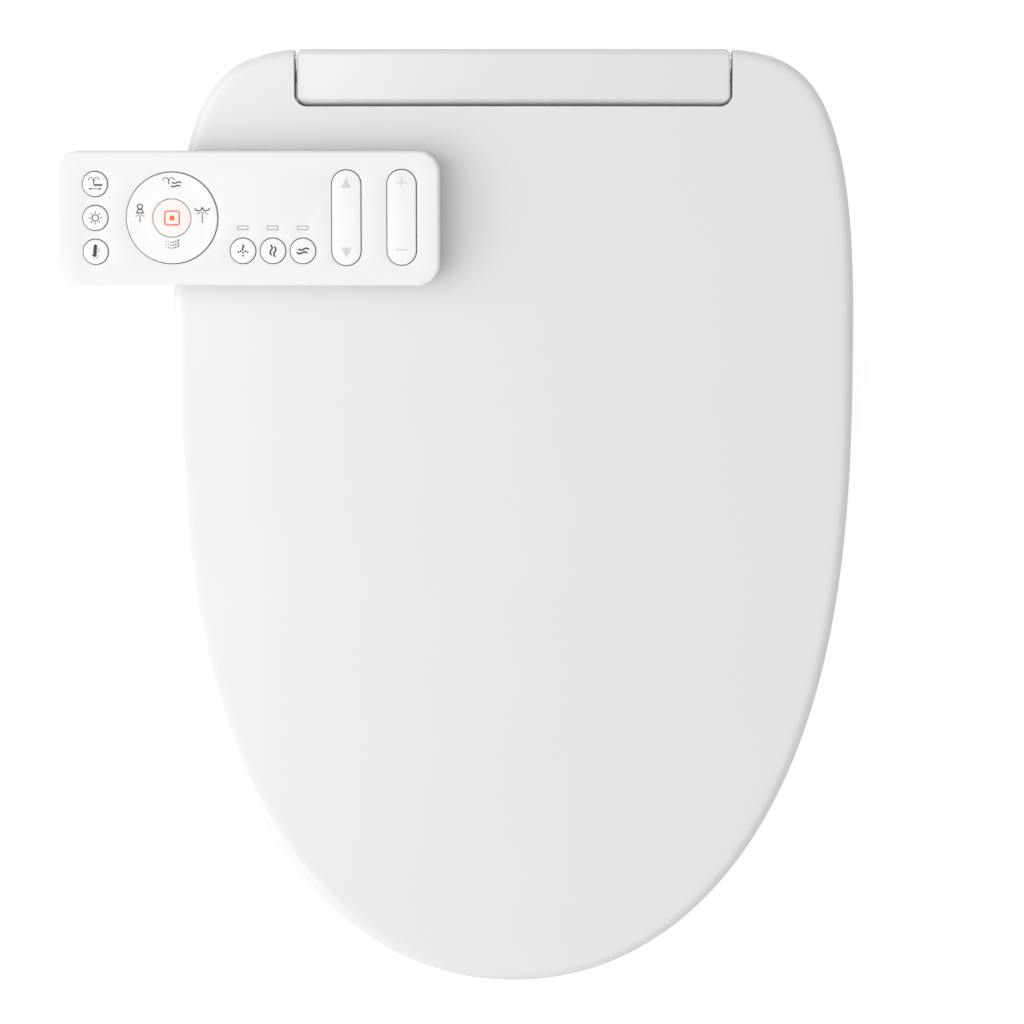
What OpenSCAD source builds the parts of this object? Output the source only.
// Electric bidet seat: a wash unit bolted to the bowl, a heated seat and a lid
// that turn on one pair of hinge pins, and a cordless remote lying on the lid.
// Origin: midway between the two bowl bolts, on the plane of the bowl's rim.
// +X is the right-hand side of the lid seen from above, +Y the rear, +Z up.

/* [Lid] */
// Greatest width of the lid
lid_w = 379; // [366:1:390]
// Reach of the lid's nose in front of the bowl bolts
lid_nose = 471; // [460:1:490]
// Distance from the bowl bolts back to the lid's rear edge
lid_rear = 51; // [50:0.5:54]
// Distance from the bowl bolts forward to the lid's widest line
lid_wide_y = 110; // [100:1:125]
// Height of the lid's top at its rear edge
lid_rear_z = 119.5; // [117:0.5:130]
// Slope of the lid's top, falling to the nose
lid_slope = 6.5; // [5.5:0.1:7]
// Wall of the lid
lid_t = 3; // [2.4:0.1:3.4]
// Radius of the rounded edge around the lid's top
lid_roll = 6; // [5:0.25:8]
// Rise of the lid's middle line above its sides
lid_crown = 3; // [1.5:0.25:4]
// Draft of the lid's skirt
lid_draft = 0.8; // [0.4:0.1:1.2]

/* [Plate between the lid's rear corners] */
// Width of the unit's plate that shows in the lid's notch
plate_w = 240; // [236:1:244]
// Gap beside and in front of the plate
plate_gap = 1.4; // [1:0.1:2]
// Depth of the lid's notch
notch_d = 33.6; // [31:0.2:35]
// Radius of the notch's two inner corners
notch_r = 7; // [4:0.5:9]
// Gap over the plate's curved edges as the lid swings
plate_swing_gap = 0.5; // [0.4:0.05:0.8]

/* [Hinge] */
// Distance from the bowl bolts back to the hinge line
hinge_y = 36.5; // [35.5:0.25:38]
// Depth of the hinge line under the lid's top
hinge_drop = 22; // [20.5:0.25:23]
// Radius of the two hinge pins
pin_r = 4; // [3:0.1:4.5]
// Radius of the hinge bosses
boss_r = 9; // [7.5:0.25:9.25]
// Width of each hinge boss
boss_w = 10.2; // [8:0.2:12]
// Side gap between neighbouring hinge bosses
hinge_gap = 0.8; // [0.5:0.1:1.2]
// Radial clearance of the pins in the turning bosses
pin_clear = 0.06; // [0.03:0.01:0.1]

/* [Seat] */
// Height of the seat's top over the front of the bowl
seat_z = 38; // [34:0.5:42]
// Rise of the seat towards its hinge
seat_rise = 42; // [38:0.5:45]
// Height of the seat's underside
seat_foot_z = 9; // [7:0.5:12]
// Height of the joint between the seat's two halves
seat_split_z = 22; // [19:0.5:25]
// Distance of the seat's edge inside the lid's edge
seat_inset = 5; // [4.5:0.25:8]
// Greatest width of the seat's opening
opening_w = 210; // [196:1:220]
// Distance from the bowl bolts to the opening's rear edge
opening_rear = 150; // [145:1:160]
// Distance from the bowl bolts to the opening's front edge
opening_front = 414; // [400:1:420]
// Radius of the seat's outer top edge
seat_roll = 8; // [6:0.5:10]
// Radius of the four seat bumpers
bumper_r = 9; // [7:0.5:11]
// Gap between the seat and what it passes over or beside
seat_gap = 2.5; // [1.5:0.1:3]

/* [Unit] */
// Distance from the bowl bolts to the unit's front face
unit_front = 92; // [90:0.5:96]
// Distance of the unit's side inside the lid's edge
unit_inset = 8; // [7:0.5:12]
// Height of the joint between base and cover
unit_split_z = 30; // [29:0.5:34]
// Wall of the base and the cover
wall = 2.6; // [2.2:0.1:3]
// Height of the unit's shoulders at the front
shoulder_front_z = 50; // [46:0.5:52]
// Height of the unit's shoulders at the rear
shoulder_rear_z = 62; // [58:0.5:64]

/* [Bowl mounting] */
// Spacing of the two bowl bolts
bolt_span = 140; // [130:1:155]
// Width of the bolt slots
bolt_slot_w = 8.4; // [8:0.2:10.4]
// Length of the bolt slots
bolt_slot_l = 30; // [20:1:34]
// Thickness of the mounting plate
mount_t = 7; // [6:0.5:8]
// Diameter of the water inlet's threaded end
inlet_d = 20.96; // [20.7:0.02:21.2]
// Free length of the water inlet's threaded end
inlet_l = 12; // [10:0.5:14]

/* [Wands] */
// Slope of the two spray wands
wand_slope = 24; // [22:0.5:26]
// Radius of the spray wands
wand_r = 5.5; // [5:0.1:6]
// Distance of each wand from the middle plane
wand_x = 14; // [13:0.25:16]
// Travel of the rear-wash wand
wash_travel = 85; // [70:1:90]
// Travel of the front-wash wand
bidet_travel = 100; // [90:1:102]
// Module of the rack and pinion teeth
tooth_m = 1; // [0.9:0.05:1.1]
// Teeth on each pinion
pinion_teeth = 12; // [10:1:14]

/* [Remote] */
// Length of the remote
remote_w = 210; // [206:0.5:216]
// Depth of the remote
remote_d = 73.5; // [72:0.5:78]
// Thickness of the remote
remote_t = 21; // [19:0.5:24]
// Corner radius of the remote
remote_r = 12; // [8:0.5:14]
// Place of the remote's middle left of the middle plane
remote_x = 145; // [140:1:150]
// Place of the remote's middle in front of the bowl bolts
remote_y = 43; // [38:1:50]
// Height of the keys above the remote's face
key_proud = 0.6; // [0.4:0.1:1]
// Press travel of the round keys
key_travel = 0.8; // [0.6:0.1:1]
// Gap around every key
key_gap = 0.35; // [0.25:0.05:0.5]
// Radius of the three keys at the left end
side_key_r = 6.8; // [6:0.1:7.2]
// Pitch of the three keys at the left end
side_key_pitch = 18.5; // [17:0.25:20]
// Radius of the four-way ring key
dial_r = 24.9; // [23:0.1:26]
// Radius of the stop key inside the ring key
stop_r = 10.3; // [9.5:0.1:11]
// Radius of the three temperature keys
temp_key_r = 6.9; // [6:0.1:7.4]
// Pitch of the three temperature keys
temp_key_pitch = 16.4; // [16:0.1:17]
// Length of the two rocker keys
rocker_l = 52; // [48:0.5:54]
// Width of the two rocker keys
rocker_w = 15.8; // [14:0.1:16.5]

/* [Hidden] */
$fn = 48;
eps = 0.01;

// Points in each quarter of the lid's and the seat's outline
quarter_n = 22;
// Exponents of the outline's quarters, as [along X, along Y]
front_power = [2.08, 2.7];
rear_power = [9, 2.5];

// Heights of the lid's top, plane and crowned
function plane_z(y) = lid_rear_z - (lid_rear - y) * tan(lid_slope);
function lid_z(x, y) = plane_z(y) + lid_crown * (1 - pow(2 * x / lid_w, 2));
function smooth(t) = let (s = min(1, max(0, t))) s * s * (3 - 2 * s);
rise_from = -opening_rear - 80;
rise_to = -20;
function seat_top_z(y) = seat_z + seat_rise * smooth((y - rise_from) / (rise_to - rise_from));
lid_over_seat = 4;
function skirt_z(y) = seat_top_z(y) + lid_over_seat;

hinge_z = plane_z(hinge_y) - hinge_drop;
notch_w = plate_w + 2 * plate_gap;
notch_y = lid_rear - notch_d;
seat_boss_x = notch_w / 2 + hinge_gap / 2;
lid_boss_x = seat_boss_x + boss_w + hinge_gap;
pin_end_x = lid_boss_x + boss_w - 0.5;
damper_l = 18;
hump_half = plate_w / 2 - 0.5;
damper_x = hump_half - wall - damper_l - 0.3;

// Plate between the lid's rear corners: its edges follow the circle that clears the notch's lip
lip_r = norm([hinge_y - notch_y, plane_z(notch_y) - lid_t - hinge_z]);
plate_r = lip_r - plate_swing_gap;
hump_drop = lid_t + 2.2;
plate_foot = 14;
plate_rear_corner = 3.6;
plate_corner = max(plate_rear_corner, notch_r - plate_gap);

wing_end_y = 12;
shoulder_y = -20;
function shoulder_z(y) = shoulder_front_z + (shoulder_rear_z - shoulder_front_z)
    * min(1, (y + unit_front) / (shoulder_y + unit_front));

// ---------------------------------------------------------------- helpers

module both_sides() {
    children();
    mirror([1, 0, 0]) children();
}

// Extrudes a (y, z) profile along X
module along_x(x0, x1) {
    translate([x0, 0, 0]) rotate([90, 0, 90]) linear_extrude(x1 - x0) children();
}

module slab(w, d, h, r) {
    linear_extrude(h) rounded_rect(w, d, r);
}

module rounded_rect(w, d, r) {
    hull() for (x = [-1, 1], y = [-1, 1]) translate([x * (w / 2 - r), y * (d / 2 - r)]) circle(r);
}

// Round bar along X, from x0 to x1
module bar_x(r, x0, x1) {
    translate([x0, 0, 0]) rotate([0, 90, 0]) cylinder(r = r, h = x1 - x0);
}

// One point of a superellipse quarter
function arc_point(t, a, b, power) = [a * pow(cos(t), 2 / power[0]), b * pow(sin(t), 2 / power[1])];

// Closed egg outline, anticlockwise from the right-hand end of its widest line
function egg(half_w, mid_y, rear, front, rear_p, front_p) = [
    for (i = [0 : 4 * quarter_n - 1]) let (
        q = floor(i / quarter_n),
        step = 90 * (i % quarter_n) / quarter_n,
        t = q % 2 == 0 ? step : 90 - step,
        p = q < 2 ? arc_point(t, half_w, rear, rear_p) : arc_point(t, half_w, front, front_p),
        side = q == 0 || q == 3 ? 1 : -1,
        end = q < 2 ? 1 : -1
    ) [side * p[0], mid_y + end * p[1]]];

// Outline moved inwards by d
function inset(pts, d) = let (n = len(pts)) [
    for (i = [0 : n - 1]) let (
        run = pts[(i + 1) % n] - pts[(i + n - 1) % n]
    ) pts[i] + d * [-run[1], run[0]] / norm(run)];

lid_outline = egg(lid_w / 2, -lid_wide_y, lid_rear + lid_wide_y, lid_nose - lid_wide_y,
    rear_power, front_power);
opening_mid = -(opening_rear + 0.42 * (opening_front - opening_rear));
opening_outline = egg(opening_w / 2, opening_mid, -opening_rear - opening_mid,
    opening_front + opening_mid, [2.2, 2.2], [2, 2.1]);

// Skin over a stack of rings with equal counts, closed by a fan at each end
module loft(rings) {
    n = len(rings[0]);
    last = len(rings) - 1;
    middle = function(ring) [for (k = [0 : 2]) [for (p = ring) p[k]] * [for (p = ring) 1] / n];
    points = concat([for (ring = rings) each ring], [middle(rings[0]), middle(rings[last])]);
    foot = n * (last + 1);
    polyhedron(points, concat(
        [for (j = [0 : last - 1], i = [0 : n - 1]) [j * n + i, (j + 1) * n + i, j * n + (i + 1) % n]],
        [for (j = [0 : last - 1], i = [0 : n - 1])
            [j * n + (i + 1) % n, (j + 1) * n + i, (j + 1) * n + (i + 1) % n]],
        [for (i = [0 : n - 1]) [i, (i + 1) % n, foot]],
        [for (i = [0 : n - 1]) [last * n + (i + 1) % n, last * n + i, foot + 1]]));
}

// Skin over closed sections standing around a ring, joined end to end
module torus_loft(sections) {
    n = len(sections);
    m = len(sections[0]);
    polyhedron([for (s = sections) each s], [
        for (i = [0 : n - 1], j = [0 : m - 1], half = [0, 1]) let (
            a = i * m + j, b = i * m + (j + 1) % m,
            c = ((i + 1) % n) * m + (j + 1) % m, d = ((i + 1) % n) * m + j
        ) half == 0 ? [a, b, c] : [a, c, d]]);
}

// ---------------------------------------------------------------- lid

roll_steps = 4;

// Rings of the lid's form; skin is 0 outside and the wall inside
function lid_rings(skin, bottom_z) = let (
    r = lid_roll - skin,
    rim = [for (k = [1 : roll_steps]) [skin + lid_draft + r * (1 - cos(90 * k / roll_steps)),
        skin + r * (1 - sin(90 * k / roll_steps))]],
    last = rim[roll_steps - 1]
) concat(
    [[for (p = inset(lid_outline, skin)) [p[0], p[1], is_undef(bottom_z) ? skirt_z(p[1]) : bottom_z]]],
    [[for (p = inset(lid_outline, skin + lid_draft)) [p[0], p[1], lid_z(p[0], p[1]) - lid_roll]]],
    [for (e = rim) [for (p = inset(lid_outline, e[0])) [p[0], p[1], lid_z(p[0], p[1]) - e[1]]]],
    [for (f = [0.75, 0.5, 0.25]) [for (q = inset(lid_outline, last[0])) let (
        p = [f * q[0], -lid_wide_y + f * (q[1] + lid_wide_y)]) [p[0], p[1], lid_z(p[0], p[1]) - skin]]]);

lid_post_places = [[95, -385], [150, -240]];
lid_pad_h = 4;
lid_pad_gap = 0.3;

module lid_posts() {
    for (p = lid_post_places) both_sides() translate([p[0], p[1], seat_pad_z(p[1])])
        cylinder(r = 4.5, h = lid_z(p[0], p[1]) - lid_t / 2 - seat_pad_z(p[1]));
}

// Height of a lid post's foot, above its rubber pad
function seat_pad_z(y) = seat_top_z(y) + seat_crown + lid_pad_gap + lid_pad_h;

module lid_cheek() {
    along_x(lid_boss_x, lid_boss_x + boss_w) {
        translate([hinge_y, hinge_z]) circle(boss_r);
        polygon([
            [hinge_y - boss_r - 8, plane_z(hinge_y - boss_r - 8) - lid_t / 2],
            [hinge_y - boss_r, hinge_z],
            [hinge_y + boss_r, hinge_z],
            [hinge_y + boss_r, plane_z(hinge_y + boss_r) - lid_t]]);
    }
}

module lid_shell() {
    color("whitesmoke") difference() {
        union() {
            difference() {
                loft(lid_rings(0));
                loft(lid_rings(lid_t, seat_foot_z));
            }
            both_sides() lid_cheek();
            lid_posts();
        }
        // Notch for the unit's plate, and clearance of its rear wall over the seat's bosses
        translate([0, lid_rear - notch_d, hinge_z - 60])
            linear_extrude(120) offset(r = notch_r) offset(delta = -notch_r)
                translate([-notch_w / 2, 0]) square([notch_w, notch_d + 40]);
        both_sides() translate([0, hinge_y, hinge_z - 60])
            cube([lid_boss_x - hinge_gap / 2, 60, 60 + pin_r]);
        translate([0, hinge_y, hinge_z]) both_sides()
            bar_x(pin_r + pin_clear, lid_boss_x - 5, lid_boss_x + boss_w + 5);
    }
}

module lid_bumpers() {
    color("lightgrey") for (p = lid_post_places) both_sides()
        translate([p[0], p[1], seat_pad_z(p[1]) - lid_pad_h]) cylinder(r = 6, h = lid_pad_h);
}

// ---------------------------------------------------------------- seat

seat_crown = 1.5;
seat_outline = inset(lid_outline, seat_inset);

// Cross-section of the seat's upper half between an outer and an inner point
function seat_section(o, i, bottom) = let (
    w = norm(i - o),
    dir = (i - o) / w,
    at = function(s, drop) let (p = o + s * dir) [p[0], p[1], seat_top_z(p[1]) - drop]
) concat(
    [[o[0], o[1], bottom], at(0.6, seat_roll)],
    [for (k = [1 : 3]) at(0.6 + seat_roll * (1 - cos(30 * k)), seat_roll * (1 - sin(30 * k)))],
    [at(0.38 * w, -seat_crown), at(0.66 * w, 0)],
    [for (k = [1 : 3]) at(w - 12 + 12 * sin(30 * k), 2 + 12 * (1 - cos(30 * k)))],
    [[i[0], i[1], bottom]]);

function pan_section(o, i) = let (
    w = norm(i - o),
    dir = (i - o) / w,
    at = function(s, z) let (p = o + s * dir) [p[0], p[1], z]
) [at(0, seat_split_z), at(w, seat_split_z), at(w, seat_foot_z + 4), at(w - 4, seat_foot_z),
    at(4, seat_foot_z), at(0, seat_foot_z + 4)];

bridge_y = -opening_rear - 7;
bridge_z = 27;

// Space under the seat's bridge and wings, over the unit's shoulders
module under_wings() {
    along_x(-lid_w, lid_w) polygon([
        [bridge_y, -eps], [bridge_y, bridge_z],
        [-unit_front - seat_gap, bridge_z],
        [-unit_front - seat_gap, shoulder_z(-unit_front) + seat_gap],
        [shoulder_y, shoulder_z(shoulder_y) + seat_gap],
        [lid_rear + 10, shoulder_rear_z + seat_gap], [lid_rear + 10, -eps]]);
}

// Space of the unit's hump between the seat's arms
module between_arms() {
    translate([-notch_w / 2 - hinge_gap / 2, -unit_front - seat_gap, -eps])
        cube([notch_w + hinge_gap, 200, 200]);
}

module seat_arm() {
    along_x(seat_boss_x, seat_boss_x + boss_w) {
        translate([hinge_y, hinge_z]) circle(boss_r);
        hull() {
            translate([hinge_y, hinge_z]) circle(0.7 * boss_r);
            translate([wing_end_y - 32, seat_z + seat_rise - 13]) square([20, 10]);
        }
    }
}

heater_t = 1;
heater_clear = 0.3;

module heater_plan(grow) {
    difference() {
        offset(delta = grow) difference() {
            polygon(inset(seat_outline, 16));
            translate([-lid_w, bridge_y - 16]) square([2 * lid_w, 400]);
        }
        offset(delta = -grow) polygon(inset(opening_outline, -16));
    }
}

module seat_top() {
    color("white") difference() {
        union() {
            difference() {
                torus_loft([for (i = [0 : len(seat_outline) - 1])
                    seat_section(seat_outline[i], opening_outline[i], seat_split_z)]);
                under_wings();
                between_arms();
                translate([-lid_w, wing_end_y, 0]) cube([2 * lid_w, 100, 200]);
            }
            both_sides() seat_arm();
        }
        translate([0, 0, seat_split_z - 1]) linear_extrude(1 + heater_t + heater_clear)
            heater_plan(heater_clear);
        translate([0, hinge_y, hinge_z]) both_sides()
            bar_x(pin_r + pin_clear, seat_boss_x - 5, seat_boss_x + boss_w + 5);
    }
}

module seat_bottom() {
    color("gainsboro") difference() {
        torus_loft([for (i = [0 : len(seat_outline) - 1])
            pan_section(seat_outline[i], opening_outline[i])]);
        under_wings();
        for (p = bumper_places) both_sides() translate([p[0], p[1], 0])
            cylinder(r = bumper_r - 3, h = seat_foot_z + 3);
    }
}

module seat_heater() {
    color("orange") translate([0, 0, seat_split_z]) linear_extrude(heater_t) heater_plan(0);
}

bumper_places = [[140, -190], [98, -385]];

module seat_bumpers() {
    color("dimgrey") for (p = bumper_places) both_sides() translate([p[0], p[1], 0]) {
        cylinder(r1 = bumper_r - 1, r2 = bumper_r, h = seat_foot_z - 0.2);
        cylinder(r = bumper_r - 3.3, h = seat_foot_z + 2.8);
    }
}

// ---------------------------------------------------------------- unit: case

base_lift = 1;
unit_rear = lid_rear - 1.6;
mount_w = 190;
mount_d = 66;
mount_clear = 0.3;
tunnel_z = mount_t + mount_clear + wall;
split_lap = 2;

// Half-width of the unit's side wall at a given y
function unit_side(y) = let (s = (y + lid_wide_y) / (lid_rear + lid_wide_y))
    lid_w / 2 * pow(1 - pow(max(0, s), rear_power[1]), 1 / rear_power[0]) - unit_inset;

module unit_plan(skin) {
    offset(delta = -skin) {
        offset(r = 12) offset(delta = -12) intersection() {
            polygon(inset(lid_outline, unit_inset));
            translate([-lid_w, -unit_front]) square([2 * lid_w, 2 * unit_front]);
        }
        hump_plan(0);
    }
}

module hump_plan(skin) {
    translate([-hump_half + skin, -unit_front + skin])
        square([2 * hump_half - 2 * skin, unit_front + unit_rear - 2 * skin]);
}

// Side view of the hump: its top follows the lid, then steps down behind the notch's lip
module hump_profile(skin) {
    offset(delta = -skin) polygon([[-unit_front, 0],
        [-unit_front, plane_z(-unit_front) - hump_drop - 5],
        [-unit_front + 4, plane_z(-unit_front) - hump_drop],
        [notch_y - 2, plane_z(notch_y - 2) - hump_drop],
        [notch_y + 8, hinge_z], [unit_rear, hinge_z], [unit_rear, 0]]);
}

// Side view of the plate: its two ends follow the circle about the hinge line
module plate_profile(skin) {
    offset(delta = -skin) intersection() {
        translate([hinge_y, hinge_z]) circle(plate_r, $fn = 96);
        polygon([[notch_y + plate_gap, hinge_z - plate_foot],
            [notch_y + plate_gap, plane_z(notch_y)],
            [unit_rear, plane_z(unit_rear)], [unit_rear, hinge_z - plate_foot]]);
    }
}

// Plan of the plate: its front corners follow the notch's, and its wall is a tenth thicker
module plate_plan(skin) {
    hull() for (side = [-1, 1]) {
        translate([side * (plate_w / 2 - plate_corner), notch_y + plate_gap + plate_corner])
            circle(plate_corner - 1.1 * skin);
        translate([side * (plate_w / 2 - plate_rear_corner), unit_rear - plate_rear_corner])
            circle(plate_rear_corner - 1.1 * skin);
    }
}

module shoulder_profile(skin) {
    offset(delta = -skin) offset(r = 5) offset(delta = -5) polygon([
        [-unit_front, -20], [-unit_front, shoulder_z(-unit_front)],
        [shoulder_y, shoulder_rear_z], [lid_rear + 5, shoulder_rear_z], [lid_rear + 5, -20]]);
}

module cover_form(skin, z0) {
    intersection() {
        translate([0, 0, z0]) linear_extrude(150) unit_plan(skin);
        along_x(-lid_w, lid_w) shoulder_profile(skin);
    }
    intersection() {
        translate([0, 0, z0]) linear_extrude(150) hump_plan(skin);
        along_x(-lid_w, lid_w) hump_profile(skin);
    }
    intersection() {
        translate([0, 0, z0]) linear_extrude(150) plate_plan(skin);
        along_x(-lid_w, lid_w) plate_profile(skin);
    }
}

board_post_places = [[44, -78], [44, -56]];
board_z = 86;
board_t = 1.6;

module top_cover() {
    color("white") difference() {
        union() {
            difference() {
                cover_form(0, unit_split_z);
                cover_form(wall, unit_split_z - 1);
            }
            for (p = board_post_places) both_sides() translate([p[0], p[1], board_z + board_t])
                cylinder(r = 3, h = plane_z(p[1]) - hump_drop - wall / 2 - board_z - board_t);
        }
        translate([0, hinge_y, hinge_z]) both_sides() bar_x(pin_r + pin_clear, 90, 150);
    }
}

guard_w = 60;
guard_z = [6, 28];
flap_x = [70, 96];
flap_z = [8, 24];
filter_y = [-45, -11];
filter_z = [8, 26];
inlet_y = 14;
inlet_z = 17;
gland_y = 14;
gland_z = 17;
gland_r = 8;
gland_bore_r = 4.2;
button_z = 20;
power_y = -60;
release_y = -35;
receiver_y = -78;
drain_place = [-60, -70];
drain_r = 6;
foot_places = [[150, -62], [136, 16]];
foot_r = 7;
foot_t = 3;
flap_pin_r = 0.8;
flap_pin_place = [-unit_front + 0.8, flap_z[1] - 1.4];

// Round room for a hose nut around the inlet; its floor lies at the lowest point of the curved wall
nut_room_r = 12.9;
inlet_collar = 1.2;
function nut_floor_x() = unit_side(inlet_y + nut_room_r);

// Where a cut through the side wall ends, clear of the wall on its inner side
function behind_wall(y) = unit_side(y) - 6 * wall;

module base_case() {
    color("white") difference() {
        union() {
            difference() {
                translate([0, 0, base_lift]) linear_extrude(unit_split_z - base_lift) unit_plan(0);
                translate([0, 0, base_lift + wall]) linear_extrude(unit_split_z) unit_plan(wall);
            }
            translate([-mount_w / 2 - mount_clear - wall, -mount_d / 2 - mount_clear - wall, base_lift])
                cube([mount_w + 2 * (mount_clear + wall), mount_d / 2 + mount_clear + wall + unit_rear - 1,
                    tunnel_z - base_lift]);
            for (p = power_post_places) translate([p[0], p[1], base_lift])
                cylinder(r = 3, h = power_board_z - base_lift);
            translate([drain_place[0], drain_place[1], base_lift]) cylinder(r = drain_r + 3, h = 8);
            // Flat floor of the hose nut's recess, carried in the rounded rear corner
            intersection() {
                translate([0, 0, base_lift]) linear_extrude(unit_split_z - base_lift) unit_plan(0);
                translate([0, inlet_y, inlet_z]) bar_x(nut_room_r + wall, -lid_w, wall - nut_floor_x());
            }
        }
        translate([0, inlet_y, inlet_z]) bar_x(nut_room_r, -lid_w, -nut_floor_x());
        translate([-mount_w / 2 - mount_clear, -mount_d / 2 - mount_clear, -1])
            cube([mount_w + 2 * mount_clear, 200, mount_t + mount_clear + 1]);
        translate([-guard_w / 2, -unit_front - 1, guard_z[0]])
            cube([guard_w, wall + 2, guard_z[1] - guard_z[0]]);
        translate([flap_x[0], -unit_front - 1, flap_z[0]])
            cube([flap_x[1] - flap_x[0], wall + 2, flap_z[1] - flap_z[0]]);
        translate([0, flap_pin_place[0], flap_pin_place[1]])
            bar_x(flap_pin_r + 0.1, flap_x[0] - 1.5, flap_x[1] + 1.5);
        translate([-lid_w, filter_y[0], filter_z[0]])
            cube([lid_w - behind_wall(filter_y[1]), filter_y[1] - filter_y[0], filter_z[1] - filter_z[0]]);
        translate([0, inlet_y, inlet_z]) {
            bar_x(inlet_d / 2 + 0.2, -lid_w, -behind_wall(inlet_y));
            bar_x(inlet_d / 2 + inlet_collar + 0.3, wall - nut_floor_x(), -behind_wall(inlet_y));
        }
        translate([0, gland_y, gland_z]) bar_x(gland_r + 0.1, behind_wall(gland_y), lid_w);
        translate([0, power_y, button_z]) bar_x(button_r + key_gap, behind_wall(power_y), lid_w);
        translate([0, release_y, button_z]) bar_x(release_r + key_gap, behind_wall(release_y), lid_w);
        translate([0, receiver_y, button_z]) bar_x(receiver_r + 0.1, behind_wall(receiver_y), lid_w);
        translate([drain_place[0], drain_place[1], 0]) cylinder(r = drain_r + 0.1, h = 20);
        for (p = foot_places) both_sides() translate([p[0], p[1], 0])
            cylinder(r = foot_r + 0.1, h = foot_t);
    }
}

module base_feet() {
    color("dimgrey") for (p = foot_places) both_sides() translate([p[0], p[1], 0])
        cylinder(r = foot_r, h = foot_t);
}

module mounting_plate() {
    color("silver") linear_extrude(mount_t) difference() {
        rounded_rect(mount_w, mount_d, 6);
        both_sides() translate([bolt_span / 2, 0]) {
            square([bolt_slot_l - bolt_slot_w, bolt_slot_w], center = true);
            for (end = [-1, 1]) translate([end * (bolt_slot_l - bolt_slot_w) / 2, 0])
                circle(bolt_slot_w / 2);
        }
    }
}

module drain_plug() {
    color("lightgrey") translate([drain_place[0], drain_place[1], base_lift]) difference() {
        cylinder(r = drain_r, h = 10);
        translate([-drain_r, -0.6, -1]) cube([2 * drain_r, 1.2, 2.2]);
    }
}

// ---------------------------------------------------------------- unit: hinge

module hinge_pins() {
    color("silver") translate([0, hinge_y, hinge_z]) both_sides()
        bar_x(pin_r, damper_x + 2, pin_end_x);
}

module hinge_dampers() {
    color("dimgrey") translate([0, hinge_y, hinge_z]) both_sides() difference() {
        bar_x(boss_r, damper_x, damper_x + damper_l);
        bar_x(pin_r + pin_clear, damper_x + 2, damper_x + damper_l + 1);
    }
}

// ---------------------------------------------------------------- unit: wands

wand_exit_z = 15.5;
tip_start = 3;
tip_l = 11;
wand_end = 144;
wand_clear = 0.08;
rack_w = 4;
rack_foot = wand_r + 1.5;
tooth_pitch = PI * tooth_m;
tooth_backlash = 0.35;
pinion_r = pinion_teeth * tooth_m / 2;
pinion_u = 26;
pinion_w = 5;
pinion_lift = rack_foot + 1.25 * tooth_m + pinion_r;
shaft_r = 1.5;
motor_r = 11.5;
motor_x = [wand_x + 7, wand_x + 21];
block_x = [-motor_x[1] + 2, 46];
block_y = [-unit_front + wall + 0.6, -42];

// Frame of a wand: +Y runs back up the wand from its exit, +Z square to it
module in_wand(x) {
    translate([x, -unit_front, wand_exit_z]) rotate([wand_slope, 0, 0]) children();
}

module bar_u(r, u0, u1) {
    translate([0, u0, 0]) rotate([-90, 0, 0]) cylinder(r = r, h = u1 - u0);
}

function wand_axis_z(y) = wand_exit_z + (y + unit_front) * tan(wand_slope);

// Tooth of the rack or a pinion, root at -1.25 modules and tip at +1 module from the pitch line
module tooth() {
    half = (tooth_pitch / 2 - tooth_backlash) / 2;
    polygon([[-half - 1.3 * tooth_m * tan(20), -1.3 * tooth_m], [half + 1.3 * tooth_m * tan(20),
        -1.3 * tooth_m], [half - tooth_m * tan(20), tooth_m], [tooth_m * tan(20) - half, tooth_m]]);
}

module wand(x, travel) {
    teeth = ceil((travel + 8) / tooth_pitch);
    rack_start = pinion_u - 2.5 * tooth_pitch;
    in_wand(x) difference() {
        union() {
            bar_u(wand_r, tip_start + tip_l, wand_end);
            translate([-rack_w / 2, rack_start, 0])
                cube([rack_w, (teeth + 4) * tooth_pitch, rack_foot]);
            translate([-rack_w / 2, 0, 0]) rotate([90, 0, 90]) linear_extrude(rack_w)
                for (k = [0 : teeth + 3])
                    translate([rack_start + k * tooth_pitch, rack_foot + 1.25 * tooth_m]) tooth();
        }
        bar_u(3.6, tip_start + tip_l - 1, tip_start + tip_l + 8);
    }
}

module tip(x, hole_rows) {
    in_wand(x) difference() {
        union() {
            translate([0, tip_start, 0]) rotate([-90, 0, 0]) rotate_extrude()
                intersection() {
                    translate([0, 4]) union() {
                        intersection() {
                            scale([wand_r / 4, 1]) circle(4);
                            translate([0, -4]) square([wand_r, 4]);
                        }
                        square([wand_r, tip_l - 4]);
                    }
                    square([wand_r, tip_l]);
                }
            bar_u(3.5, tip_start + tip_l - 1, tip_start + tip_l + 7);
        }
        for (k = [0 : hole_rows - 1], s = [-1, 0, 1])
            translate([1.4 * s, tip_start + 6 + 1.8 * k, 0]) cylinder(r = 0.45, h = wand_r + 1, $fn = 16);
    }
}

module pinion(x) {
    side = sign(x);
    in_wand(x) translate([0, pinion_u, pinion_lift]) {
        translate([-pinion_w / 2, 0, 0]) rotate([90, 0, 90]) linear_extrude(pinion_w) {
            circle(pinion_r - 1.25 * tooth_m);
            for (k = [0 : pinion_teeth - 1]) rotate(180 + 360 * k / pinion_teeth)
                translate([0, pinion_r]) tooth();
        }
        mirror([side < 0 ? 1 : 0, 0, 0]) bar_x(shaft_r, 0, motor_x[1] - wand_x - 4);
    }
}

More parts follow.
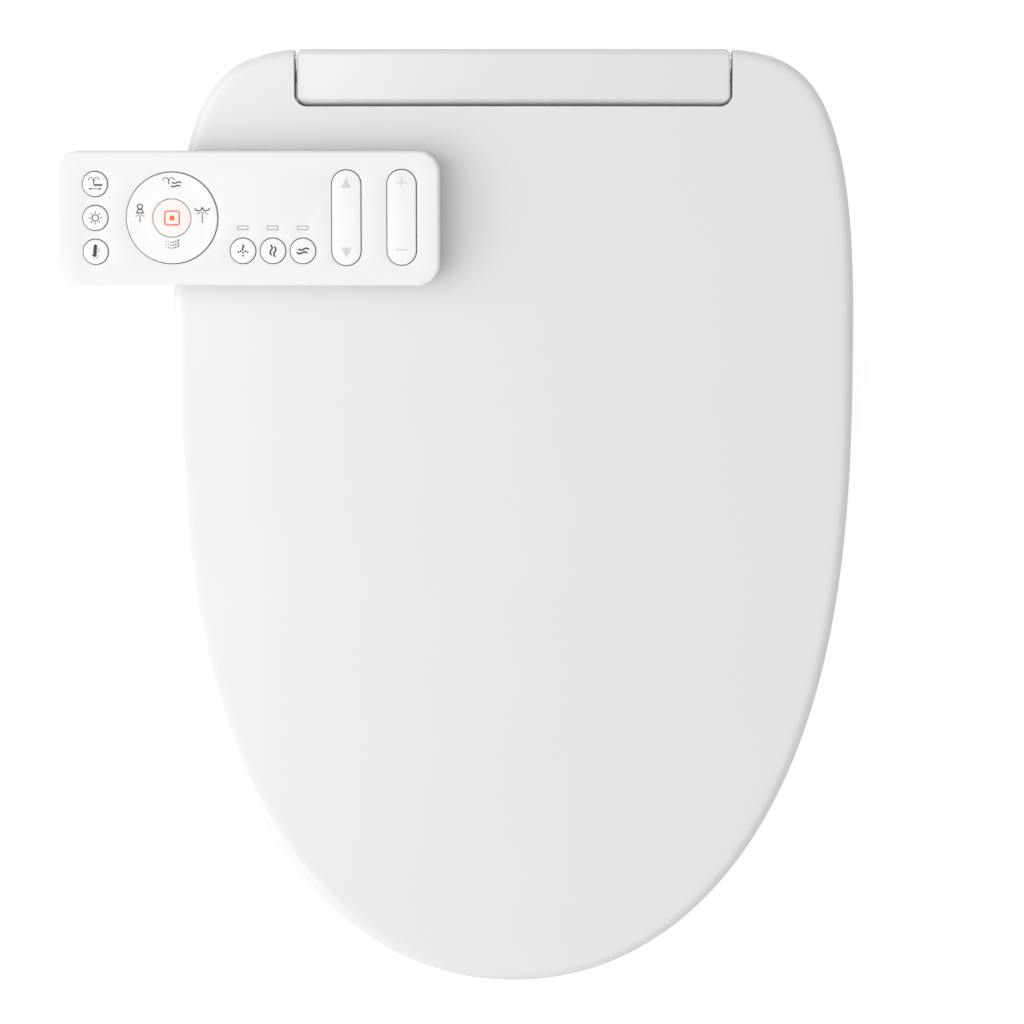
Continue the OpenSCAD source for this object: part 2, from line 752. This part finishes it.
module wash_wand() { color("whitesmoke") wand(-wand_x, wash_travel); }
module bidet_wand() { color("whitesmoke") wand(wand_x, bidet_travel); }
module wash_tip() { color("lightgrey") tip(-wand_x, 1); }
module bidet_tip() { color("lightgrey") tip(wand_x, 2); }
module wash_pinion() { color("ivory") pinion(-wand_x); }
module bidet_pinion() { color("ivory") pinion(wand_x); }

module wand_motors() {
    color("silver") both_sides() in_wand(0) translate([0, pinion_u, pinion_lift]) difference() {
        bar_x(motor_r, motor_x[0], motor_x[1]);
        bar_x(shaft_r + 0.1, motor_x[0] - 1, motor_x[1] - 3);
    }
}

// Guide of both wands, a wedge on the base whose shoulders carry the motors
module nozzle_block() {
    rise = [for (y = block_y) wand_axis_z(y)];
    high = (wand_r + 1) / cos(wand_slope);
    low = (pinion_lift - motor_r - 0.3) / cos(wand_slope);
    color("lightsteelblue") difference() {
        union() {
            along_x(-motor_x[0] + 0.5, motor_x[0] - 0.5) polygon([
                [block_y[0], base_lift + wall], [block_y[0], rise[0] + high],
                [block_y[1], rise[1] + high], [block_y[1], base_lift + wall]]);
            along_x(block_x[0], block_x[1]) polygon([
                [block_y[0], base_lift + wall], [block_y[0], rise[0] + low],
                [block_y[1], rise[1] + low], [block_y[1], base_lift + wall]]);
        }
        for (side = [-1, 1]) in_wand(side * wand_x) {
            bar_u(wand_r + wand_clear, -5, 80);
            translate([-rack_w / 2 - 0.3, -5, 0]) cube([rack_w + 0.6, 90, 30]);
        }
    }
}

module nozzle_guard() {
    color("gainsboro") difference() {
        translate([-guard_w / 2 + key_gap, -unit_front, guard_z[0] + key_gap])
            cube([guard_w - 2 * key_gap, wall, guard_z[1] - guard_z[0] - 2 * key_gap]);
        for (side = [-1, 1]) in_wand(side * wand_x) {
            bar_u(wand_r + 0.8, -10, 10);
            translate([-rack_w / 2 - 0.5, -10, 0])
                cube([rack_w + 1, 20, rack_foot + 2.25 * tooth_m + 0.4]);
        }
    }
}

// ---------------------------------------------------------------- unit: water

valve_d = 28;
filter_l = 46;
fan_bay = 13.2;
deodor_x = fan_bay + filter_l - filter_out_x();
valve_x = [16.6 - unit_side(inlet_y), 16.6 - unit_side(inlet_y) + valve_d];
heater_x = [deodor_x + 9, -52];
heater_y = [-30, 30];
heater_top = 74;
diverter_x = [26, 46];
diverter_y = [-34, -8];
diverter_top = 50;
hose_r = 3;
hose_bend_r = 8;
hose_y = -20;
hose_top = 84;

module water_inlet() {
    root_x = nut_floor_x() + 0.3;
    end_x = root_x + inlet_l;
    color("silver") translate([0, inlet_y, inlet_z]) difference() {
        union() {
            bar_x(inlet_d / 2, -end_x, -root_x);
            bar_x(inlet_d / 2 - 1.2, -root_x - 1, valve_x[0]);
            bar_x(inlet_d / 2 + inlet_collar, wall + 0.2 - nut_floor_x(), valve_x[0]);
        }
        bar_x(5, -end_x - 1, -end_x + 20);
    }
}

module solenoid_valve() {
    color("ivory") {
        translate([valve_x[0], inlet_y - valve_d / 2, base_lift + wall])
            cube([valve_x[1] - valve_x[0], valve_d, valve_d]);
        translate([(valve_x[0] + valve_x[1]) / 2, inlet_y, base_lift + wall + valve_d])
            cylinder(r = 10, h = 18);
    }
}

module water_heater() {
    color("gainsboro") difference() {
        translate([heater_x[0], heater_y[0], tunnel_z])
            cube([heater_x[1] - heater_x[0], heater_y[1] - heater_y[0], heater_top - tunnel_z]);
        for (x = [heater_x[0] : (heater_x[1] - heater_x[0]) / 4 : heater_x[1]])
            translate([x, heater_y[0] - 1, tunnel_z + 6])
                cube([4, 4, heater_top - tunnel_z - 12], center = false);
    }
}

module diverter() {
    color("ivory") translate([0, 0, tunnel_z]) {
        translate([diverter_x[0], diverter_y[0], 0]) cube([diverter_x[1] - diverter_x[0],
            diverter_y[1] - diverter_y[0], diverter_top - tunnel_z - 12]);
        translate([(diverter_x[0] + diverter_x[1]) / 2, (diverter_y[0] + diverter_y[1]) / 2, 0])
            cylinder(r = 9, h = diverter_top - tunnel_z);
    }
}

module hose_bend(turn) {
    rotate(turn) rotate([90, 0, 0]) translate([-hose_bend_r, 0, 0])
        rotate_extrude(angle = 90) translate([hose_bend_r, 0]) circle(hose_r, $fn = 24);
}

module hoses() {
    x0 = heater_x[1] - 10;
    x1 = (diverter_x[0] + diverter_x[1]) / 2;
    color("lightgrey") {
        // Valve to heater
        translate([0, inlet_y, inlet_z]) bar_x(hose_r, valve_x[1], heater_x[0]);
        // Heater's top, over the wands, to the diverter's top
        translate([x0, hose_y, heater_top])
            cylinder(r = hose_r, h = hose_top - hose_bend_r - heater_top);
        translate([x0, hose_y, hose_top - hose_bend_r]) hose_bend(180);
        translate([0, hose_y, hose_top]) bar_x(hose_r, x0 + hose_bend_r, x1 - hose_bend_r);
        translate([x1, hose_y, hose_top - hose_bend_r]) hose_bend(0);
        translate([x1, hose_y, diverter_top])
            cylinder(r = hose_r, h = hose_top - hose_bend_r - diverter_top);
        // Diverter to the two wands' guide
        for (x = [diverter_x[0] + 5, diverter_x[1] - 5])
            translate([x, block_y[1], 24]) bar_u(hose_r, 0, diverter_y[0] - block_y[1]);
    }
}

// ---------------------------------------------------------------- unit: air

blower_place = [-8, 48];
blower_r = 32;
blower_t = 1.8;
fan_r = 26;
fan_blades = 14;
duct_y = -50;
duct_z = [14, 42];

// Forward-curved blade: an arc out to the rim and back along its other face
fan_blade_t = 1;
fan_blade_root = 0.7 * fan_r;
function blade_at(s, side) = let (r = fan_blade_root + s * (fan_r - 0.3 - fan_blade_root),
    a = 22 * s * s + side * fan_blade_t / 2 / r * 57.3) [r * cos(a), r * sin(a)];
fan_blade = concat([for (s = [0 : 0.25 : 1]) blade_at(s, 1)], [for (s = [1 : -0.25 : 0]) blade_at(s, -1)]);

duct_slant = 1.6;

// Volute and its mouth; skin is 0 outside and the wall inside
module blower_scroll(skin) {
    translate(blower_place) circle(blower_r - skin, $fn = 72);
}

module blower_mouth(skin) {
    polygon([[duct_y, duct_z[0] + skin], [duct_y, duct_z[1] - duct_slant * skin],
        blower_place + [-0.6, 0.7] * (blower_r - skin), blower_place - [0, blower_r - 3 - skin]]);
}

module blower_housing() {
    color("gainsboro") difference() {
        union() {
            along_x(flap_x[0] - 2, flap_x[1] + 2) blower_scroll(0);
            along_x(flap_x[0] - 2, flap_x[1] + 2) blower_mouth(0);
        }
        along_x(flap_x[0], flap_x[1]) {
            blower_scroll(blower_t);
            blower_mouth(blower_t);
            translate([duct_y - 5, duct_z[0] + blower_t])
                square([10, duct_z[1] - duct_z[0] - (1 + duct_slant) * blower_t]);
        }
        translate([0, blower_place[0], blower_place[1]]) {
            bar_x(4, flap_x[0] - 10, flap_x[0] + 5);
            bar_x(14, flap_x[1] - 1, flap_x[1] + 10);
        }
    }
}

module dryer_duct() {
    wall_y = -unit_front + wall + 0.1;
    color("gainsboro") difference() {
        along_x(flap_x[0] - 2, flap_x[1] + 2) polygon([
            [duct_y, duct_z[0]], [duct_y, duct_z[1]],
            [wall_y, flap_z[1] + 2], [wall_y, flap_z[0] - 2]]);
        along_x(flap_x[0], flap_x[1]) polygon([
            [duct_y + 1, duct_z[0] + 2], [duct_y + 1, duct_z[1] - 2],
            [wall_y - 1, flap_z[1]], [wall_y - 1, flap_z[0]]]);
    }
}

module blower_fan() {
    hub_x = [flap_x[0] + 3, flap_x[1] - 3];
    color("dimgrey") translate([0, blower_place[0], blower_place[1]]) {
        bar_x(shaft_r, flap_x[0] - 12, hub_x[1]);
        bar_x(7, hub_x[0], hub_x[1]);
        bar_x(fan_r, hub_x[0], hub_x[0] + 1.5);
        along_x(hub_x[0] + 1, hub_x[1]) for (k = [0 : fan_blades - 1]) rotate(360 * k / fan_blades)
            polygon(fan_blade);
    }
}

module blower_motor() {
    color("silver") translate([0, blower_place[0], blower_place[1]]) difference() {
        bar_x(14, flap_x[0] - 22, flap_x[0] - 2.1);
        bar_x(shaft_r + 0.1, flap_x[0] - 13, flap_x[0]);
    }
}

module dryer_flap() {
    gap = 0.4;
    color("gainsboro") {
        translate([flap_x[0] + gap, -unit_front, flap_z[0] + gap]) cube([flap_x[1] - flap_x[0] - 2 * gap,
            2 * flap_pin_r, flap_z[1] - flap_z[0] - 2 * gap]);
        translate([0, flap_pin_place[0], flap_pin_place[1]])
            bar_x(flap_pin_r, flap_x[0] - 1, flap_x[1] + 1);
    }
}

deodor_fan_r = 8.4;
filter_clear = 0.4;

function filter_out_x() = unit_side(filter_y[1]) - 1;

module carbon_filter() {
    face = filter_out_x();
    color("darkslategrey") difference() {
        translate([-face, filter_y[0] + filter_clear, filter_z[0] + filter_clear])
            cube([filter_l, filter_y[1] - filter_y[0] - 2 * filter_clear,
                filter_z[1] - filter_z[0] - 2 * filter_clear]);
        for (k = [0 : 5]) translate([-face + 4, filter_y[0] + 4 + 4.6 * k, filter_z[0] + 3])
            cube([filter_l - 6, 2.6, 30]);
        translate([-face - 1, filter_y[0] + 8, filter_z[0] + 3]) cube([2.5, 18, 3]);
    }
}

module deodor_housing() {
    t = 1.6;
    mid_y = (filter_y[0] + filter_y[1]) / 2;
    mid_z = (filter_z[0] + filter_z[1]) / 2;
    back_x = -filter_out_x() + filter_l + 0.4;
    color("gainsboro") difference() {
        union() {
            difference() {
                translate([-unit_side(filter_y[1]) + wall + 3, filter_y[0] - t, filter_z[0] - t])
                    cube([unit_side(filter_y[1]) - wall - 3 + deodor_x, filter_y[1] - filter_y[0] + 2 * t,
                        filter_z[1] - filter_z[0] + 2 * t]);
                translate([-lid_w, filter_y[0], filter_z[0]])
                    cube([lid_w + back_x, filter_y[1] - filter_y[0], filter_z[1] - filter_z[0]]);
                translate([0, mid_y, mid_z]) bar_x(deodor_fan_r + 0.5, back_x - 1, deodor_x + 1);
            }
            translate([0, mid_y, mid_z]) bar_x(2.4, deodor_x - 3, deodor_x);
            translate([deodor_x - 3, mid_y - 1, mid_z - deodor_fan_r - 1])
                cube([3, 2, 2 * deodor_fan_r + 2]);
        }
        translate([0, mid_y, mid_z]) bar_x(1.1, deodor_x - 4, deodor_x + 1);
    }
}

module deodor_fan() {
    mid_y = (filter_y[0] + filter_y[1]) / 2;
    mid_z = (filter_z[0] + filter_z[1]) / 2;
    front_x = deodor_x - 12;
    color("dimgrey") translate([0, mid_y, mid_z]) {
        bar_x(3, front_x, deodor_x - 4);
        bar_x(1, deodor_x - 5, deodor_x - 0.5);
        along_x(front_x, front_x + 7) for (k = [0 : 6]) rotate(360 * k / 7)
            translate([2.5, -0.5]) square([deodor_fan_r - 2.5, 1]);
    }
}

// ---------------------------------------------------------------- unit: electrics

power_board_z = 9;
power_board_place = [unit_side(-62) - 57, -62];
power_board_size = [34, 56];
power_post_places = [for (x = [4, 30], y = [4, 52]) power_board_place + [x, y]];
button_r = 5;
release_r = 7;
receiver_r = 3.5;

module control_board() {
    color("seagreen") {
        translate([-50, -84, board_z]) cube([100, 34, board_t]);
        for (k = [0 : 4]) translate([-38 + 18 * k, -72, board_z - 3]) cube([10, 8, 3]);
    }
}

module power_board() {
    color("seagreen") {
        translate([power_board_place[0], power_board_place[1], power_board_z])
            cube([power_board_size[0], power_board_size[1], board_t]);
        translate([power_board_place[0] + 4, power_board_place[1] + 10, power_board_z + board_t])
            cube([20, 18, 16]);
        translate([power_board_place[0] + 12, power_board_place[1] + 40, power_board_z + board_t])
            cylinder(r = 6, h = 18);
    }
}

// Round push button in the unit's right-hand wall, with a collar behind the wall
module side_button(y, r) {
    face = unit_side(y + r);
    translate([0, y, button_z]) {
        bar_x(r, face - 9, face + 1.5);
        bar_x(r + 1.5, face - 9, unit_side(y + r) - wall - 2.4);
    }
}

module power_button() { color("lightgrey") side_button(power_y, button_r); }
module release_button() { color("gainsboro") side_button(release_y, release_r); }

module receiver_lens() {
    color("maroon") translate([0, receiver_y, button_z])
        bar_x(receiver_r, unit_side(receiver_y) - wall - 4, unit_side(receiver_y) - 0.3);
}

module cord_gland() {
    face = unit_side(gland_y);
    color("dimgrey") translate([0, gland_y, gland_z]) difference() {
        union() {
            bar_x(gland_r, face - 15, face + 3);
            bar_x(gland_r + 2, face - 15, unit_side(gland_y + gland_r + 2) - 2 * wall);
        }
        bar_x(gland_bore_r, face - 16, face + 4);
    }
}

// ---------------------------------------------------------------- remote

pad_h = 1.2;
pad_gap = 0.3;
pad_x = [85, -22];
remote_wall = 2;
back_h = 12;
face_z = remote_t - remote_wall;
remote_board_z = back_h + 0.3;
board_top = remote_board_z + board_t;
key_top = remote_t + key_proud;
key_foot = board_top + key_travel + 0.5;
pad_mid = remote_x - (pad_x[0] + pad_x[1]) / 2;
remote_tilt = atan(8 * lid_crown * pad_mid / (lid_w * lid_w));
remote_z = lid_z(pad_x[0] - remote_x, -remote_y) + pad_h + pad_gap - pad_x[0] * tan(remote_tilt);

side_key_place = [-83.1, 0.3];
dial_place = [-41.1, 0.3];
temp_key_place = [-2.4, -17.6];
window_place = [-2.4, -5];
window_size = [6, 2.3];
position_place = [54.2, 0.5];
power_place = [84.4, 0.7];
battery_place = [32 - remote_w / 2, 0];
battery_r = 5.25;
battery_l = 44.5;
bay = [48, 24];
door = [52, 29];
door_t = 1.4;
pivot_z = board_top + 2.3;
pivot_pin_r = 0.7;
dial_tilt = 2;
rocker_tilt = 2.5;

// Frame of the remote: its underside's middle, +X along it, +Y to the rear
module in_remote() {
    translate([-remote_x, -remote_y, remote_z]) rotate([lid_slope, 0, 0])
        rotate([0, -remote_tilt, 0]) children();
}

module at_keys(place, pitch, along) {
    for (k = [0 : 2]) translate([place[0] + along[0] * k * pitch, place[1] + along[1] * k * pitch, 0])
        children();
}

module rocker_plan(grow) {
    slab_w = rocker_w + 2 * grow;
    slab_l = rocker_l + 2 * grow;
    square([slab_w, slab_l - slab_w], center = true);
    for (end = [-1, 1]) translate([0, end * (slab_l - slab_w) / 2]) circle(slab_w / 2);
}

module remote_back() {
    color("gainsboro") in_remote() difference() {
        slab(remote_w, remote_d, back_h, remote_r);
        // Inside, leaving the battery bay's walls standing
        translate([0, 0, 2]) difference() {
            slab(remote_w - 2 * remote_wall, remote_d - 2 * remote_wall, back_h, remote_r - remote_wall);
            translate([battery_place[0], battery_place[1], 0])
                slab(bay[0] + 3, bay[1] + 3, remote_board_z - 2.2, 1.5);
            for (x = [-95, -30, 20, 70, 95], y = [-30, 30]) translate([x, y, 0])
                cylinder(r = 2.5, h = remote_board_z - 2.05);
        }
        translate([battery_place[0], battery_place[1], -1]) {
            slab(bay[0], bay[1], back_h + 5, 1);
            slab(door[0], door[1], door_t + 1.2, 2);
        }
    }
}

module remote_front() {
    color("white") in_remote() difference() {
        translate([0, 0, back_h]) slab(remote_w, remote_d, remote_t - back_h, remote_r);
        translate([0, 0, back_h - 1]) slab(remote_w - 2 * remote_wall, remote_d - 2 * remote_wall,
            face_z - back_h + 1, remote_r - remote_wall);
        translate([0, 0, face_z - 1]) linear_extrude(10) {
            at_keys([side_key_place[0], side_key_place[1] - side_key_pitch], side_key_pitch, [0, 1])
                circle(side_key_r + key_gap);
            translate(dial_place) circle(dial_r + key_gap, $fn = 72);
            at_keys(temp_key_place, temp_key_pitch, [1, 0]) circle(temp_key_r + key_gap);
            at_keys(window_place, temp_key_pitch, [1, 0]) square(window_size, center = true);
            translate(position_place) rocker_plan(key_gap);
            translate(power_place) rocker_plan(key_gap);
        }
    }
}

module remote_board() {
    color("seagreen") in_remote() {
        translate([0, 0, remote_board_z])
            slab(remote_w - 2 * remote_wall - 1, remote_d - 2 * remote_wall - 1, board_t, remote_r - 3);
        // Posts that carry the ring key's gimbal and the two rockers
        translate([dial_place[0], dial_place[1], 0]) both_sides() pivot_post(18.2);
        for (p = [position_place, power_place]) translate([p[0], p[1], 0]) both_sides() pivot_post(3.6);
    }
}

module pivot_post(x) {
    difference() {
        translate([x, -1.8, board_top - eps]) cube([2, 3.6, 3.6]);
        translate([0, 0, pivot_z]) bar_x(pivot_pin_r + 0.06, x - 1, x + 3);
    }
}

module remote_pads() {
    color("dimgrey") in_remote() {
        for (y = [-24, 24]) translate([pad_x[0], y, -pad_h]) cylinder(r = 5, h = pad_h);
        for (y = [-24, 24]) translate([pad_x[1], y, -pad_h]) cylinder(r = 5, h = pad_h);
    }
}

module batteries() {
    color("steelblue") in_remote() for (side = [-1, 1])
        translate([battery_place[0], battery_place[1] + side * (battery_r + 0.3), door_t + battery_r + 0.1]) {
            bar_x(battery_r, -battery_l / 2, battery_l / 2 - 1);
            bar_x(1.9, battery_l / 2 - 1.1, battery_l / 2);
        }
}

module battery_door() {
    color("gainsboro") in_remote() translate([battery_place[0], battery_place[1], 0])
        slab(door[0] - 0.6, door[1] - 0.6, door_t, 1.8);
}

module indicator_lenses() {
    color("lightgrey") in_remote() at_keys(window_place, temp_key_pitch, [1, 0])
        translate([-window_size[0] / 2 + 0.1, -window_size[1] / 2 + 0.1, board_top])
            cube([window_size[0] - 0.2, window_size[1] - 0.2, remote_t - board_top]);
}

// Round key: a stem with a collar under the remote's face
module round_key(place, r) {
    in_remote() translate([place[0], place[1], 0]) {
        translate([0, 0, key_foot]) cylinder(r = r, h = key_top - key_foot);
        translate([0, 0, face_z - 1.6]) cylinder(r = r + 1, h = 1.3);
    }
}

module side_key(k) {
    round_key([side_key_place[0], side_key_place[1] + k * side_key_pitch], side_key_r);
}

module temp_key(k) {
    round_key([temp_key_place[0] + k * temp_key_pitch, temp_key_place[1]], temp_key_r);
}

module massage_key() { color("white") side_key(1); }
module light_key() { color("white") side_key(0); }
module nozzle_key() { color("white") side_key(-1); }
module water_temp_key() { color("white") temp_key(0); }
module air_temp_key() { color("white") temp_key(1); }
module seat_temp_key() { color("white") temp_key(2); }

module dial_pivot() {
    color("silver") in_remote() translate([dial_place[0], dial_place[1], pivot_z]) {
        translate([0, 0, -0.8]) difference() {
            cylinder(r = 17.6, h = 1.6);
            translate([0, 0, -1]) cylinder(r = 15, h = 4);
        }
        both_sides() bar_x(pivot_pin_r, 17, 19.8);
        rotate(90) both_sides() bar_x(pivot_pin_r, 17, 19.8);
    }
}

module dial_ring() {
    ring_foot = pivot_z + 2.2;
    color("white") in_remote() translate([dial_place[0], dial_place[1], 0]) {
        translate([0, 0, ring_foot]) difference() {
            cylinder(r = dial_r, h = key_top - ring_foot, $fn = 72);
            translate([0, 0, -1]) cylinder(r = stop_r + 0.7, h = 20);
        }
        rotate(90) both_sides() difference() {
            translate([18.2, -1.8, pivot_z - 1.1]) cube([2, 3.6, ring_foot - pivot_z + 1.2]);
            translate([0, 0, pivot_z]) bar_x(pivot_pin_r + 0.06, 17, 22);
        }
    }
}

module stop_key() {
    color("white") in_remote() translate([dial_place[0], dial_place[1], 0]) {
        translate([0, 0, key_foot]) cylinder(r = stop_r, h = key_top - key_foot);
        translate([0, 0, key_foot]) cylinder(r = stop_r + 2, h = 1);
    }
}

module rocker(place) {
    in_remote() translate([place[0], place[1], 0]) {
        translate([0, 0, pivot_z + 1.6]) linear_extrude(key_top - pivot_z - 1.6) rocker_plan(0);
        translate([-3.2, -1.6, pivot_z - 1]) cube([6.4, 3.2, 3]);
        translate([0, 0, pivot_z]) bar_x(pivot_pin_r, -5.4, 5.4);
    }
}

module position_rocker() { color("white") rocker(position_place); }
module power_rocker() { color("white") rocker(power_place); }

base_case();
top_cover();
hinge_pins();
hinge_dampers();
nozzle_block();
nozzle_guard();
wand_motors();
water_inlet();
solenoid_valve();
water_heater();
diverter();
hoses();
blower_housing();
blower_motor();
dryer_duct();
deodor_housing();
control_board();
power_board();
cord_gland();
receiver_lens();
drain_plug();
base_feet();
wash_wand();
wash_tip();
bidet_wand();
bidet_tip();
wash_pinion();
bidet_pinion();
blower_fan();
dryer_flap();
deodor_fan();
carbon_filter();
power_button();
release_button();
mounting_plate();
seat_top();
seat_bottom();
seat_heater();
seat_bumpers();
lid_shell();
lid_bumpers();
remote_front();
remote_back();
remote_board();
remote_pads();
batteries();
battery_door();
indicator_lenses();
massage_key();
light_key();
nozzle_key();
dial_pivot();
dial_ring();
stop_key();
water_temp_key();
seat_temp_key();
air_temp_key();
position_rocker();
power_rocker();
